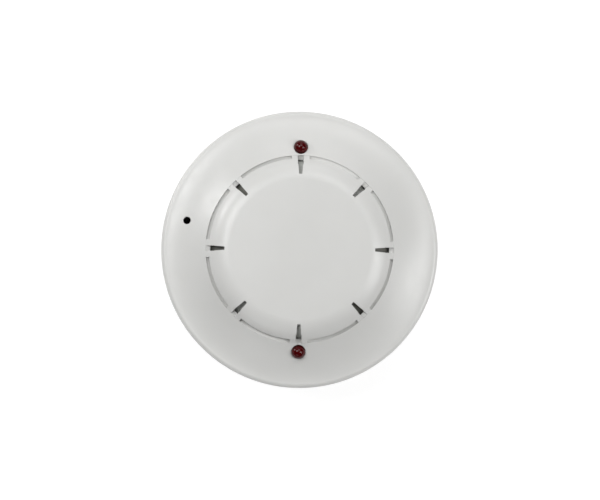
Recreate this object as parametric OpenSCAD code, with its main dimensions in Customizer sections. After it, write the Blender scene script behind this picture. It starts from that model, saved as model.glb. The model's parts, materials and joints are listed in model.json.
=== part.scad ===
// Round ceiling heat detector: a plug-in head, twist-locked on its mounting base.
// The mounting face lies on z = 0, the domed face looks along +Z, and +Y points to the upper lamp.

/* [Cover] */
// Outer diameter of the cover's rim
cover_d = 100; // [99:0.5:101]
// Height from the mounting face to the middle of the dome
total_h = 42; // [42:0.5:43]
// Thickness of the cover's flange
shell_t = 2.2; // [1.8:0.1:2.4]
// Radius that rounds the rim into the flange
lip_round = 1.6; // [1.2:0.1:3]
// How far the flange climbs from its rounded lip to the ring groove
flange_rise = 6.4; // [5.5:0.1:6.6]
// How quickly the flange steepens towards the groove
flange_power = 1.6; // [1.4:0.05:1.8]
// Lower edge of the rim
rim_z = 12.5; // [12.4:0.1:13]

/* [Dome] */
// Radius of the gently crowned middle of the dome
crown_r = 25; // [24:0.5:26]
// Height of that crown
crown_h = 0.6; // [0.4:0.1:0.8]
// Slope of the shoulder where it meets the groove
shoulder_angle = 50; // [46:1:54]
// Inner radius of the ring groove
groove_in_r = 32.5; // [32.4:0.05:32.7]
// Outer radius of the ring groove
groove_out_r = 33.75; // [33.65:0.05:33.9]
// Depth of the ring groove at its outer edge
groove_depth = 0.8; // [0.7:0.1:1.2]
// Number of air slots
slot_count = 8; // [8]
// Radius where an air slot begins
slot_in_r = 26.95; // [26.9:0.05:27.4]
// Width of an air slot at its inner end
slot_in_w = 1.15; // [1:0.05:1.4]
// Width of an air slot at its outer end
slot_out_w = 1.95; // [1.6:0.05:2.1]
// Half the angle over which the groove is bridged at each slot
bridge_half = 5.5; // [4.5:0.5:6.5]

/* [Lamps and lock] */
// Radius of the circle on which the two lamps sit
lamp_circle_r = 36.85; // [36.8:0.05:37.1]
// Diameter of a lamp's lens
lamp_d = 5; // [5]
// Radius of the circle on which the lock-release hole lies
release_circle_r = 41.9; // [41.7:0.1:42.3]
// Angle of the lock-release hole
release_angle = 166.2; // [165:0.2:167]
// Diameter of the lock-release hole
release_d = 2.7; // [2.5:0.1:2.8]

/* [Base] */
// Height of the base's wall
base_h = 14; // [13.6:0.1:14]
// Thickness of the base's floor
floor_t = 2.4; // [2.2:0.1:2.4]
// Radius of the central cable entry
entry_r = 11; // [10:0.5:11]
// Distance between the two fixing slots on the X axis
slot_span_x = 55; // [55]
// Distance between the two fixing slots on the Y axis
slot_span_y = 70; // [70]
// Width of a fixing slot
fix_w = 4.4; // [4.2:0.1:4.6]
// End-to-end length of a fixing slot
fix_l = 9.4; // [9:0.1:9.4]

/* [Bayonet and terminals] */
// Half the angle of a lug on the head
lug_half = 9; // [8:0.5:9]
// Radius from the axis to a terminal screw
terminal_r = 29; // [28.8:0.1:29.2]
// Radius of a terminal screw's shank
shank_r = 1.5; // [1.5]
// Running clearance of pins and shanks in their holes
run_gap = 0.05; // [0.02:0.01:0.08]

/* [Hidden] */
$fn = 64;

// Cover and dome
cover_r = cover_d / 2;
lip_r = cover_r - lip_round;
lip_z = total_h - 12;
flange_top_z = lip_z + flange_rise;
rim_draft = 0.7;
rim_inner_r = cover_r - 1.4;
wall_inner_r = cover_r - 2.2;
groove_floor_z = flange_top_z - groove_depth;
seam = 0.05;
collar_t = 1.7;
brim_r = groove_out_r + 2.7;
brim_z = 29.6;
brim_t = 1.35;
cap_t = 2;
cap_r = groove_out_r - seam;
cap_skirt_in_r = cap_r - 1.35;
cap_floor_t = 1.4;
curve_steps = 14;

// Crown and shoulder of the dome: two arcs that meet at crown_r with the same slope
crown_arc_r = (crown_r * crown_r + crown_h * crown_h) / (2 * crown_h);
crown_slope = asin(crown_r / crown_arc_r);
shoulder_arc_r = (groove_in_r - crown_r) / (sin(shoulder_angle) - sin(crown_slope));
shoulder_cr = crown_r - shoulder_arc_r * sin(crown_slope);
shoulder_cz = total_h - crown_h - shoulder_arc_r * cos(crown_slope);

// Baffle, shields and clips under the slots
baffle_gap = 0.8;
baffle_t = 0.9;
baffle_from = 12;
baffle_foot = 72;
tongue_half = 3;
tongue_gap = 0.6;
tongue_from = 18;
baffle_out_r = cap_skirt_in_r - 0.15;
baffle_edge_z = groove_floor_z - cap_floor_t - 0.2;
shield_drop = 0.1;
clip_drop = 0.5;
clip_angles = [45, 225];

// Base
base_r = cover_r - 2;
base_wall = 2;
base_chamfer = 0.8;
hook_angles = [20, 115, 250];
hook_half = 11;
hook_in_r = 40.5;
hook_out_r = 44.2;
post_in_r = 44;
rail_top_z = 7.8;
ledge_z = 10;
ledge_t = 1.8;
rail_in_r = 41;

// Chassis
lug_z = 8;
lug_t = 1.8;
lug_r = 43.5;
plate_z = 11;
plate_t = 2;
wall_r = 39.5;
wall_t = 1.8;
shelf_z = 14.4;
shelf_t = 1.6;
shelf_r = rim_inner_r - 0.2;
seal_t = 1.2;
screw_angles = [20, 125, 245];
standoff_angles = [60, 180, 300];
standoff_r = 33;

// Circuit board
board_z = 17;
board_t = 1.6;
board_top = board_z + board_t;
board_r = 40.5;
bulkhead_z = 28.1;

// Terminals
terminal_angles = [45, 135, 225, 315];
screen_angle = 270;
screen_r = 21;
pedestal_top = 4.2;
strip_t = 0.8;
clamp_t = 1;
clamp_w = 8;
clamp_z = pedestal_top + strip_t;
head_z = clamp_z + clamp_t;
head_h = 2;
head_r = 2.9;
blade_in_r = 19.5;
blade_out_r = 24;
blade_z = 10.2;
rivet_r = 0.9;
rivet_circle_r = 21.75;
rivet_turns = [6, 16];

// Lock lever, in a frame whose X axis points out through the release hole
pivot_y = -11;
pivot_z = 7;
lever_z = 6.4;
lever_t = 1.2;
pin_r = 0.8;

// Leads
lamp_angles = [90, 270];
lead_pitch = 2.54;
lamp_seat_z = 27.9;
lamp_flange_t = 1;
bead_z = 36.4;
bead_pitch = 1.2;

function polar(r, a) = [r * cos(a), r * sin(a)];

// Height of the flange's outer face at a radius
function flange_z(r) = lip_z + flange_rise * pow((lip_r - r) / (lip_r - groove_out_r), flange_power);

// Points of the flange's face between two radii, lowered by drop
function flange_points(r0, r1, drop) = [
    for (i = [0 : curve_steps])
        let (r = r0 + (r1 - r0) * i / curve_steps)
        [r, flange_z(r) - drop]
];

// Points of the dome's face from the middle outwards, moved in by t along its normal
function crown_points(t) = [
    for (i = [0 : 4])
        let (a = crown_slope * i / 5)
        [(crown_arc_r - t) * sin(a), total_h - crown_arc_r + (crown_arc_r - t) * cos(a)]
];
function shoulder_r(t, a) = shoulder_cr + (shoulder_arc_r - t) * sin(a);
function shoulder_points(t, from = crown_slope, to = shoulder_angle) = [
    for (i = [0 : 10])
        let (a = from + (to - from) * i / 10)
        [shoulder_r(t, a), shoulder_cz + (shoulder_arc_r - t) * cos(a)]
];
function reversed(list) = [for (i = [len(list) - 1 : -1 : 0]) list[i]];

// A piece of a ring between two angles
module ring_sector(r0, r1, z0, h, a0, a1) {
    rotate([0, 0, a0])
        rotate_extrude(angle = a1 - a0)
            translate([r0, z0])
                square([r1 - r0, h]);
}

// Puts its children on a circle, at an angle
module at(r, a, z = 0) {
    rotate([0, 0, a])
        translate([r, 0, z])
            children();
}

// A tube between two heights
module tube(outer, inner, z, h) {
    translate([0, 0, z])
        difference() {
            cylinder(r = outer, h = h);
            translate([0, 0, -1])
                cylinder(r = inner, h = h + 2);
        }
}

// Two crossed slots cut by a screwdriver's tip
module cross_recess(w, depth) {
    for (a = [0, 90])
        rotate([0, 0, a])
            translate([-w / 2, -w / 7, -depth])
                cube([w, w / 3.5, depth + 1]);
}

/* Base */

// One bayonet hook: a post on the wall, a ledge over the lug, a rail under it and an end stop
module hook() {
    post_h = ledge_z + ledge_t - floor_t + 0.5;
    stop_to = -lug_half - 0.3;
    ring_sector(post_in_r, base_r - 1, floor_t - 0.5, post_h, -hook_half - 0.5, hook_half + 0.5);
    ring_sector(hook_in_r, hook_out_r, ledge_z, ledge_t, -hook_half, hook_half);
    ring_sector(rail_in_r, hook_out_r, floor_t - 0.5, rail_top_z - floor_t + 0.5, -hook_half, hook_half);
    ring_sector(hook_in_r, hook_out_r, rail_top_z - 0.5, ledge_z - rail_top_z + 1, -hook_half, stop_to);
}

// One raised pad under a terminal, from radius r0 to r1
module pedestal(r0, r1) {
    translate([r0, -5, floor_t - 0.5])
        cube([r1 - r0, 10, pedestal_top - floor_t + 0.5]);
}

// A slot with round ends along X
module fixing_slot() {
    travel = (fix_l - fix_w) / 2;
    translate([0, 0, -1])
        union() {
            for (x = [-travel, travel])
                translate([x, 0, 0])
                    cylinder(d = fix_w, h = floor_t + 2);
            translate([-travel, -fix_w / 2, 0])
                cube([2 * travel, fix_w, floor_t + 2]);
        }
}

// The pair of posts that hold the lock lever's pin
module lever_posts() {
    for (x = [[38.9, 1.5], [44.1, 1.9]])
        translate([x[0], pivot_y - 1.8, floor_t - 0.5])
            cube([x[1], 3.6, pivot_z + 1.8 - floor_t + 0.5]);
}

module base_plate() color("white") {
    difference() {
        union() {
            rotate_extrude()
                polygon([
                    [0, 0], [base_r - base_chamfer, 0], [base_r, base_chamfer], [base_r, base_h],
                    [base_r - base_wall, base_h], [base_r - base_wall, floor_t], [0, floor_t]
                ]);
            for (a = hook_angles)
                rotate([0, 0, a])
                    hook();
            for (a = terminal_angles)
                rotate([0, 0, a])
                    pedestal(18.2, 33.6);
            rotate([0, 0, screen_angle])
                pedestal(16.4, 25.6);
            rotate([0, 0, release_angle])
                lever_posts();
            at(release_circle_r, release_angle)
                translate([0, 4, floor_t - 0.5])
                    cylinder(r = 0.7, h = 1.3);
            tube(entry_r + 1.6, entry_r - 1, floor_t - 0.5, 1.5);
        }
        translate([0, 0, -1])
            cylinder(r = entry_r, h = 10);
        for (s = [-1, 1]) {
            translate([s * slot_span_x / 2, 0, 0])
                fixing_slot();
            translate([0, s * slot_span_y / 2, 0])
                rotate([0, 0, 90])
                    fixing_slot();
        }
        for (a = terminal_angles)
            at(terminal_r, a, 0.6)
                cylinder(r = shank_r + run_gap, h = 8);
        at(screen_r, screen_angle, 0.6)
            cylinder(r = shank_r + run_gap, h = 8);
        rotate([0, 0, release_angle])
            translate([38, pivot_y, pivot_z])
                rotate([0, 90, 0])
                    cylinder(r = pin_r + 0.02, h = 7.2);
    }
}

// Terminal plate with the spring leaf that rises from its inner end to meet a blade
module contact_strip() {
    difference() {
        union() {
            translate([18.5, -4.3, pedestal_top])
                cube([14.8, 8.6, strip_t]);
            translate([0, 2.5, 0])
                rotate([90, 0, 0])
                    linear_extrude(height = 5)
                        polygon([
                            [18.5, pedestal_top + 0.1], [18.5, 8.6], [21.3, 10.05], [22.3, 10.05],
                            [24.6, 8.9], [24.35, 8.45], [22.1, 9.5], [21.5, 9.5],
                            [19.1, 8.25], [19.1, pedestal_top + 0.1]
                        ]);
        }
        translate([terminal_r, 0, pedestal_top - 1])
            cylinder(r = shank_r + run_gap, h = 4);
    }
}

module strip(i) color("gold") {
    rotate([0, 0, terminal_angles[i]])
        contact_strip();
}

module screen_terminal() color("gold") {
    rotate([0, 0, screen_angle])
        difference() {
            translate([16.8, -4.3, pedestal_top])
                cube([8.4, 8.6, strip_t]);
            translate([screen_r, 0, pedestal_top - 1])
                cylinder(r = shank_r + run_gap, h = 4);
        }
}

// Where each clamp and its screw stand: four line terminals, then the screen terminal
function terminal_place(i) = i < 4 ? [terminal_r, terminal_angles[i]] : [screen_r, screen_angle];

module clamp_plate(i) color("silver") {
    at(terminal_place(i)[0], terminal_place(i)[1], clamp_z)
        difference() {
            translate([-clamp_w / 2, -clamp_w / 2, 0])
                cube([clamp_w, clamp_w, clamp_t]);
            translate([0, 0, -1])
                cylinder(r = shank_r + run_gap, h = clamp_t + 2);
        }
}

module terminal_screw(i) color("silver") {
    at(terminal_place(i)[0], terminal_place(i)[1])
        difference() {
            union() {
                translate([0, 0, head_z])
                    rotate_extrude()
                        polygon([
                            [0, 0], [head_r, 0], [head_r, 1.1], [head_r - 0.5, 1.7],
                            [head_r - 1.3, head_h], [0, head_h]
                        ]);
                translate([0, 0, 1])
                    cylinder(r = shank_r, h = head_z - 0.9);
            }
            translate([0, 0, head_z + head_h])
                cross_recess(3.4, 1.1);
        }
}

module lock_lever() color("gainsboro") {
    rotate([0, 0, release_angle])
        difference() {
            union() {
                translate([40.7, pivot_y, pivot_z])
                    rotate([0, 90, 0])
                        cylinder(r = 1.8, h = 3.1);
                translate([40.7, pivot_y, lever_z])
                    cube([3.1, 19, lever_t]);
                translate([40.7, 7.5, lever_z])
                    cube([1.9, 6, lever_t]);
                translate([release_circle_r, 0, lever_z + 0.5])
                    cylinder(r = 1.6, h = 4.6);
            }
            translate([40, pivot_y, pivot_z])
                rotate([0, 90, 0])
                    cylinder(r = pin_r + run_gap, h = 5);
        }
}

module lock_pin() color("silver") {
    rotate([0, 0, release_angle])
        translate([38.9, pivot_y, pivot_z])
            rotate([0, 90, 0])
                cylinder(r = pin_r, h = 6.2);
}

// A round wire wound into a compression spring, standing between two heights
module wire_coil(coil_r, wire_r, z0, z1, turns) {
    sides = 8;
    per_turn = 14;
    rings = turns * per_turn;
    pitch = (z1 - z0 - 2 * wire_r) / turns;
    function ring_point(i, j) =
        let (a = 360 * i / per_turn, b = 360 * j / sides)
        [
            (coil_r + wire_r * cos(b)) * cos(a),
            (coil_r + wire_r * cos(b)) * sin(a),
            z0 + wire_r + pitch * i / per_turn + wire_r * sin(b)
        ];
    points = [for (i = [0 : rings]) for (j = [0 : sides - 1]) ring_point(i, j)];
    walls = [
        for (i = [0 : rings - 1])
            for (j = [0 : sides - 1])
                let (k = (j + 1) % sides)
                [i * sides + j, (i + 1) * sides + j, (i + 1) * sides + k, i * sides + k]
    ];
    start = [for (j = [0 : sides - 1]) j];
    end = [for (j = [sides - 1 : -1 : 0]) rings * sides + j];
    polyhedron(points = points, faces = concat([start], walls, [end]));
}

module lock_spring() color("silver") {
    at(release_circle_r, release_angle)
        translate([0, 4, 0])
            wire_coil(1.2, 0.18, floor_t, lever_z, 3);
}

/* Head */

module chassis() color("white") {
    difference() {
        union() {
            rotate_extrude()
                polygon([
                    [0, plate_z], [wall_r - wall_t, plate_z], [wall_r - wall_t, lug_z], [wall_r, lug_z],
                    [wall_r, shelf_z], [shelf_r, shelf_z], [shelf_r, shelf_z + shelf_t],
                    [wall_r - wall_t, shelf_z + shelf_t], [wall_r - wall_t, plate_z + plate_t],
                    [0, plate_z + plate_t]
                ]);
            for (a = hook_angles)
                ring_sector(wall_r - 0.5, lug_r, lug_z, lug_t, a - lug_half, a + lug_half);
            ring_sector(wall_r - 0.5, 42.5, lug_z, lug_t, release_angle + 9, release_angle + 14);
            for (a = standoff_angles)
                at(standoff_r, a, plate_z + plate_t - 0.5)
                    cylinder(r = 2.4, h = board_z - plate_z - plate_t + 0.5);
        }
        for (a = terminal_angles)
            for (turn = rivet_turns)
                at(rivet_circle_r, a + turn, plate_z - 1)
                    cylinder(r = rivet_r + 0.02, h = plate_t + 2);
        for (a = screw_angles)
            at(release_circle_r, a, shelf_z - 1)
                cylinder(r = 1.5, h = shelf_t + 2);
        at(release_circle_r, release_angle, shelf_z - 1)
            cylinder(r = 1.8, h = shelf_t + 2);
        for (a = standoff_angles)
            at(standoff_r, a, plate_z + plate_t + 0.5)
                cylinder(r = 0.92, h = 6);
    }
}

module blade(i) color("gold") {
    rotate([0, 0, terminal_angles[i]])
        difference() {
            ring_sector(blade_in_r, blade_out_r, blade_z, plate_z - blade_z, -8, 20);
            for (turn = rivet_turns)
                at(rivet_circle_r, turn, blade_z - 1)
                    cylinder(r = rivet_r + 0.02, h = 3);
        }
}

module blade_rivets() color("gold") {
    for (a = terminal_angles)
        for (turn = rivet_turns)
            at(rivet_circle_r, a + turn, blade_z)
                union() {
                    cylinder(r = rivet_r, h = plate_z + plate_t - blade_z + 0.4);
                    translate([0, 0, plate_z + plate_t - blade_z])
                        cylinder(r = 1.7, h = 0.8);
                }
}

module board_pins() color("gold") {
    z = plate_z + plate_t + 0.8;
    for (a = terminal_angles)
        at(rivet_circle_r, a + rivet_turns[0], z)
            cylinder(r = 0.5, h = board_top + 0.9 - z);
}

module circuit_board() color("green") {
    difference() {
        translate([0, 0, board_z])
            cylinder(r = board_r, h = board_t);
        for (a = screw_angles)
            at(release_circle_r, a, board_z - 1)
                cylinder(r = 3.6, h = board_t + 2);
        at(release_circle_r, release_angle, board_z - 1)
            cylinder(r = 3.2, h = board_t + 2);
        for (a = terminal_angles)
            at(rivet_circle_r, a + rivet_turns[0], board_z - 1)
                cylinder(r = 0.55, h = board_t + 2);
        for (a = standoff_angles)
            at(standoff_r, a, board_z - 1)
                cylinder(r = 1.1, h = board_t + 2);
        for (a = lamp_angles)
            for (s = [-0.5, 0.5])
                at(lamp_circle_r, a, board_z - 1)
                    translate([0, s * lead_pitch, 0])
                        cylinder(r = 0.3, h = board_t + 2);
        for (s = [-0.5, 0.5])
            translate([s * bead_pitch, 0, board_z - 1])
                cylinder(r = 0.3, h = board_t + 2);
    }
}

module board_screws() color("silver") {
    for (a = standoff_angles)
        at(standoff_r, a)
            difference() {
                union() {
                    translate([0, 0, board_top])
                        cylinder(r = 2, h = 1.4);
                    translate([0, 0, board_z - 3])
                        cylinder(r = 0.9, h = board_t + 3.4);
                }
                translate([0, 0, board_top + 1.4])
                    cross_recess(2.2, 0.8);
            }
}

// A chip package: a bevelled body with legs along both long sides
module chip(l, w, h, legs) {
    pitch = 1.27;
    difference() {
        union() {
            translate([-l / 2, -w / 2, 0.15])
                cube([l, w, h - 0.15]);
            for (i = [0 : legs - 1])
                translate([(i - (legs - 1) / 2) * pitch - 0.2, -w / 2 - 1, 0])
                    cube([0.4, w + 2, 0.4]);
        }
        translate([-l / 2 + 1, 0, h - 0.2])
            cylinder(r = 0.45, h = 1);
    }
}

module microcontroller() color("dimgray") {
    translate([8, 13, board_top])
        rotate([0, 0, 90])
            chip(12.8, 7.5, 2.3, 9);
}

module amplifier_chip() color("dimgray") {
    translate([-12, 10, board_top])
        chip(5, 3.9, 1.6, 4);
}

module regulator() color("dimgray") {
    translate([-13, -7, board_top])
        chip(4.6, 3.2, 1.6, 3);
}

module electrolytic_capacitors() color("dimgray") {
    for (p = [[11, -11], [24, -6]])
        translate([p[0], p[1], board_top])
            difference() {
                cylinder(r = 3.15, h = 7.2);
                translate([0, 0, 1.2])
                    tube(3.6, 2.9, 0, 0.6);
            }
}

module ceramic_capacitors() color("tan") {
    for (p = [[0, 10], [0, 16], [-22, 4], [-22, -2], [6, -22], [-4, -22]])
        translate([p[0] - 1, p[1] - 0.65, board_top])
            cube([2, 1.3, 1.1]);
}

module resistors() color("dimgray") {
    for (p = [[-6, 18], [-10, 18], [-14, 18], [-24, 12], [24, 6], [28, 6], [2, -28], [-8, -28]])
        translate([p[0] - 1, p[1] - 0.65, board_top])
            cube([2, 1.3, 0.55]);
}

module diodes() color("dimgray") {
    for (i = [0 : 3])
        translate([-11 + 4 * i, -15, board_top + 1.4])
            rotate([90, 0, 0])
                union() {
                    translate([0, 0, -2.5])
                        cylinder(r = 1.35, h = 5);
                    translate([0, 0, -3.6])
                        cylinder(r = 0.4, h = 7.2);
                }
}

module transistor() color("dimgray") {
    translate([-3, 26, board_top + 1.5])
        union() {
            difference() {
                cylinder(r = 2.4, h = 4.6);
                translate([-3, 1.2, -1])
                    cube([6, 3, 7]);
            }
            for (x = [-1.27, 0, 1.27])
                translate([x - 0.2, -0.2, -1.5])
                    cube([0.4, 0.4, 2]);
        }
}

module lamp(a) color("darkred") {
    lens_r = lamp_d / 2;
    at(lamp_circle_r, a, lamp_seat_z)
        rotate_extrude()
            union() {
                square([lens_r + 0.4, lamp_flange_t]);
                square([lens_r, 6.2]);
                intersection() {
                    translate([0, 6.2])
                        circle(r = lens_r);
                    square([lens_r + 1, 20]);
                }
            }
}

module led_leads() color("silver") {
    for (a = lamp_angles)
        for (s = [-0.5, 0.5])
            at(lamp_circle_r, a, board_z - 0.8)
                translate([0, s * lead_pitch, 0])
                    cylinder(r = 0.25, h = lamp_seat_z - board_z + 0.8);
}

module led_holders() color("slategray") {
    for (a = lamp_angles)
        at(lamp_circle_r, a, board_top)
            difference() {
                cylinder(r = 2.9, h = lamp_seat_z - board_top);
                for (s = [-0.5, 0.5])
                    translate([0, s * lead_pitch, -1])
                        cylinder(r = 0.3, h = 20);
            }
}

module thermistor() color("black") {
    translate([0, 0, bead_z + 1])
        difference() {
            sphere(r = 1.5);
            translate([-2, -2, -3])
                cube([4, 4, 2]);
        }
}

module thermistor_leads() color("silver") {
    for (s = [-1, 1])
        translate([s * bead_pitch / 2, 0, board_z - 0.8])
            cylinder(r = 0.25, h = bead_z - board_z + 0.8);
}

module thermistor_holder() color("dimgray") {
    difference() {
        translate([0, 0, board_top])
            union() {
                cylinder(r = 2.6, h = 13);
                cylinder(r = 3.6, h = 1.2);
            }
        for (s = [-0.5, 0.5])
            translate([s * bead_pitch, 0, board_top - 1])
                cylinder(r = 0.3, h = 16);
    }
}

module reference_thermistor() color("black") {
    translate([8, -2, board_top])
        union() {
            translate([0, 0, 3.4])
                sphere(r = 1.2);
            for (s = [-0.5, 0.5])
                translate([s, 0, 0])
                    cylinder(r = 0.22, h = 3.2);
        }
}

module sensor_bulkhead() color("black") {
    difference() {
        union() {
            translate([0, 0, bulkhead_z])
                cylinder(r = brim_r, h = brim_z - bulkhead_z);
            for (a = [0, 120, 240])
                at(30, a, board_top)
                    cylinder(r = 1.6, h = bulkhead_z - board_top + 0.5);
        }
        translate([0, 0, bulkhead_z - 1])
            cylinder(r = 2.7, h = 4);
        for (a = lamp_angles)
            at(lamp_circle_r, a, bulkhead_z - 1)
                cylinder(r = 3.1, h = 4);
    }
}

// A tongue that stands on the bulkhead in a notch of the baffle, its sloping top drop under the cap
module tongue(a, drop) {
    rotate([0, 0, a - tongue_half])
        rotate_extrude(angle = 2 * tongue_half)
            polygon(concat(
                [[shoulder_r(cap_t + drop, tongue_from), brim_z]],
                shoulder_points(cap_t + drop, tongue_from),
                [[baffle_out_r, baffle_edge_z], [baffle_out_r, brim_z]]
            ));
}

module light_shields() color("slategray") {
    for (a = lamp_angles)
        tongue(a, shield_drop);
}

module baffle_clips() color("slategray") {
    for (a = clip_angles)
        tongue(a, clip_drop);
}

// A cone close under the slots, on a skirt that stands on the bulkhead
module slot_baffle() color("dimgray") {
    under = cap_t + baffle_gap;
    notch_in_r = shoulder_r(cap_t + clip_drop, tongue_from) - 0.1;
    notch_half = tongue_half + tongue_gap;
    difference() {
        rotate_extrude()
            polygon(concat(
                shoulder_points(under, baffle_from),
                [[baffle_out_r, baffle_edge_z], [baffle_out_r, brim_z]],
                [[shoulder_r(under + baffle_t, baffle_foot), brim_z]],
                reversed(shoulder_points(under + baffle_t, baffle_from, baffle_foot))
            ));
        for (a = concat(lamp_angles, clip_angles))
            ring_sector(notch_in_r, cover_r, brim_z - 1, 20, a - notch_half, a + notch_half);
    }
}

// Outline of an air slot from above, from its inner end to radius r1
module slot_outline(r1, w1) {
    polygon([[slot_in_r, -slot_in_w / 2], [r1, -w1 / 2], [r1, w1 / 2], [slot_in_r, slot_in_w / 2]]);
}

module centre_cap() color("white") {
    slot_end_r = groove_in_r - 0.4;
    slot_turn = 360 / slot_count;
    difference() {
        rotate_extrude()
            polygon(concat(
                crown_points(0), shoulder_points(0),
                [[cap_r, flange_z(cap_r)], [cap_r, brim_z + brim_t], [brim_r, brim_z + brim_t]],
                [[brim_r, brim_z], [cap_skirt_in_r, brim_z], [cap_skirt_in_r, groove_floor_z - cap_floor_t]],
                reversed(shoulder_points(cap_t)), reversed(crown_points(cap_t))
            ));
        for (i = [0 : slot_count - 1]) {
            ring_sector(
                groove_in_r, cap_r + 1, groove_floor_z, 10,
                i * slot_turn + bridge_half, (i + 1) * slot_turn - bridge_half
            );
            rotate([0, 0, i * slot_turn])
                translate([0, 0, brim_z + brim_t + 0.5])
                    linear_extrude(height = 20)
                        slot_outline(slot_end_r, slot_out_w);
        }
        for (a = lamp_angles) {
            rotate([0, 0, a])
                translate([0, 0, groove_floor_z - 0.9])
                    linear_extrude(height = 20)
                        slot_outline(groove_out_r + 1, slot_out_w + 0.25);
            at(lamp_circle_r, a, brim_z - 1)
                cylinder(r = 2.8, h = brim_t + 2);
        }
    }
}

module outer_cover() color("white") {
    collar_r = groove_out_r + collar_t;
    collar_z = brim_z + brim_t + seam;
    seal_top = shelf_z + shelf_t + seal_t;
    boss_top = 29.6;
    shelf_top = shelf_z + shelf_t;
    difference() {
        union() {
            rotate_extrude()
                polygon(concat(
                    [[cover_r - rim_draft, rim_z]],
                    [for (a = [0 : 10 : 80]) [lip_r, lip_z - lip_round] + polar(lip_round, a)],
                    flange_points(lip_r, groove_out_r, 0),
                    [[groove_out_r, collar_z], [collar_r, collar_z]],
                    flange_points(collar_r, lip_r - 1.2, shell_t),
                    [[wall_inner_r, lip_z - lip_round - 1.2], [wall_inner_r, seal_top]],
                    [[rim_inner_r, seal_top], [rim_inner_r, rim_z]]
                ));
            for (a = screw_angles)
                at(release_circle_r, a, shelf_top)
                    cylinder(r = 3, h = boss_top - shelf_top);
            at(release_circle_r, release_angle, shelf_top)
                cylinder(r = 2.6, h = boss_top - shelf_top);
        }
        for (a = lamp_angles)
            at(lamp_circle_r, a, brim_z)
                cylinder(r = lamp_d / 2 + 0.1, h = 10);
        for (a = screw_angles)
            at(release_circle_r, a, shelf_top - 1)
                cylinder(r = 1.3, h = 10);
        at(release_circle_r, release_angle, shelf_top - 1)
            cylinder(d = release_d, h = 20);
    }
}

module chassis_screws() color("silver") {
    for (a = screw_angles)
        at(release_circle_r, a, shelf_z)
            difference() {
                union() {
                    translate([0, 0, -1.8])
                        cylinder(r = 2.4, h = 1.8);
                    translate([0, 0, -0.4])
                        cylinder(r = 1.25, h = 10);
                }
                translate([0, 0, -1.8])
                    mirror([0, 0, 1])
                        cross_recess(2.8, 1);
            }
}

module seal_ring() color("black") {
    tube(rim_inner_r - 0.1, wall_inner_r - 0.9, shelf_z + shelf_t, seal_t);
}

module rating_label() color("silver") {
    translate([0, 0, plate_z - 0.15])
        cylinder(r = 14, h = 0.15);
}

base_plate();
strip(0);  // contact_strip_1
strip(1);  // contact_strip_2
strip(2);  // contact_strip_3
strip(3);  // contact_strip_4
screen_terminal();
clamp_plate(0);  // clamp_plate_1
clamp_plate(1);  // clamp_plate_2
clamp_plate(2);  // clamp_plate_3
clamp_plate(3);  // clamp_plate_4
clamp_plate(4);  // clamp_plate_5
terminal_screw(0);  // terminal_screw_1
terminal_screw(1);  // terminal_screw_2
terminal_screw(2);  // terminal_screw_3
terminal_screw(3);  // terminal_screw_4
terminal_screw(4);  // terminal_screw_5
lock_lever();
lock_pin();
lock_spring();
chassis();
blade(0);  // contact_blade_1
blade(1);  // contact_blade_2
blade(2);  // contact_blade_3
blade(3);  // contact_blade_4
blade_rivets();
board_pins();
circuit_board();
board_screws();
microcontroller();
amplifier_chip();
regulator();
electrolytic_capacitors();
ceramic_capacitors();
resistors();
diodes();
transistor();
lamp(90);  // led_upper
lamp(270);  // led_lower
led_leads();
led_holders();
thermistor();
thermistor_leads();
thermistor_holder();
reference_thermistor();
sensor_bulkhead();
light_shields();
slot_baffle();
baffle_clips();
centre_cap();
outer_cover();
chassis_screws();
seal_ring();
rating_label();
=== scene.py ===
"""The look of a round ceiling heat detector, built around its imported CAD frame.
The frame is in metres: z = 0 is the mounting face and +Z looks out of the dome.
Shapes are described in millimetres and turned into metres as their meshes are made."""

import itertools
import json
import math

import bmesh
import bpy
from mathutils import Matrix, Vector
from mathutils.geometry import intersect_line_line_2d


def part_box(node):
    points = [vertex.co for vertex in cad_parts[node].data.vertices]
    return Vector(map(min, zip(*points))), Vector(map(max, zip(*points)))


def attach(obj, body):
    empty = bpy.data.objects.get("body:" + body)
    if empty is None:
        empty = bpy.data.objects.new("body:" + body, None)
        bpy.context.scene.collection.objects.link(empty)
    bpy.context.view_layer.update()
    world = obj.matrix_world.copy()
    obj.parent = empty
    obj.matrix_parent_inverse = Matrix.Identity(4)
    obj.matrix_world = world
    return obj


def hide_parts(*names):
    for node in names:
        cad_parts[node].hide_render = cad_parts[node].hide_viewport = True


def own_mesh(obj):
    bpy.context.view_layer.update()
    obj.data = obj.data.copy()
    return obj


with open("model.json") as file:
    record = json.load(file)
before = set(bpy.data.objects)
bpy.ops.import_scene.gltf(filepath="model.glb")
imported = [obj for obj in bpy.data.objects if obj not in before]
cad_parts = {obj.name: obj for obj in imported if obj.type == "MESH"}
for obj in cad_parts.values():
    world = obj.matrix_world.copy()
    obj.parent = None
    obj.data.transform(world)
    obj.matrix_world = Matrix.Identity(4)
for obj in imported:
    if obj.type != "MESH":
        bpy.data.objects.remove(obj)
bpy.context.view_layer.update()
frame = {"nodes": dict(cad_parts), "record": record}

RECORD = frame["record"]
SLOT_OF = {part["node"]: part["material_slot"] for part in RECORD["subparts"]}
BODY_OF = {node: body for body, nodes in RECORD["behaviour"]["bodies"].items() for node in nodes}

MM = 0.001

# Driving dimensions, in millimetres, read from the frame

cover_low, cover_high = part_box("outer_cover")
cap_low, cap_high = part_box("centre_cap")
lamp_low, lamp_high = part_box("led_upper")

COVER_R = cover_high.x / MM
TOP_Z = cap_high.z / MM
RIM_Z = cover_low.z / MM
LAMP_CIRCLE_R = (lamp_low.y + lamp_high.y) / 2 / MM
LAMP_TOP_Z = lamp_high.z / MM
LAMP_SEAT_Z = lamp_low.z / MM
BRIM_Z = cap_low.z / MM
BRIM_R = cap_high.x / MM

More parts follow.
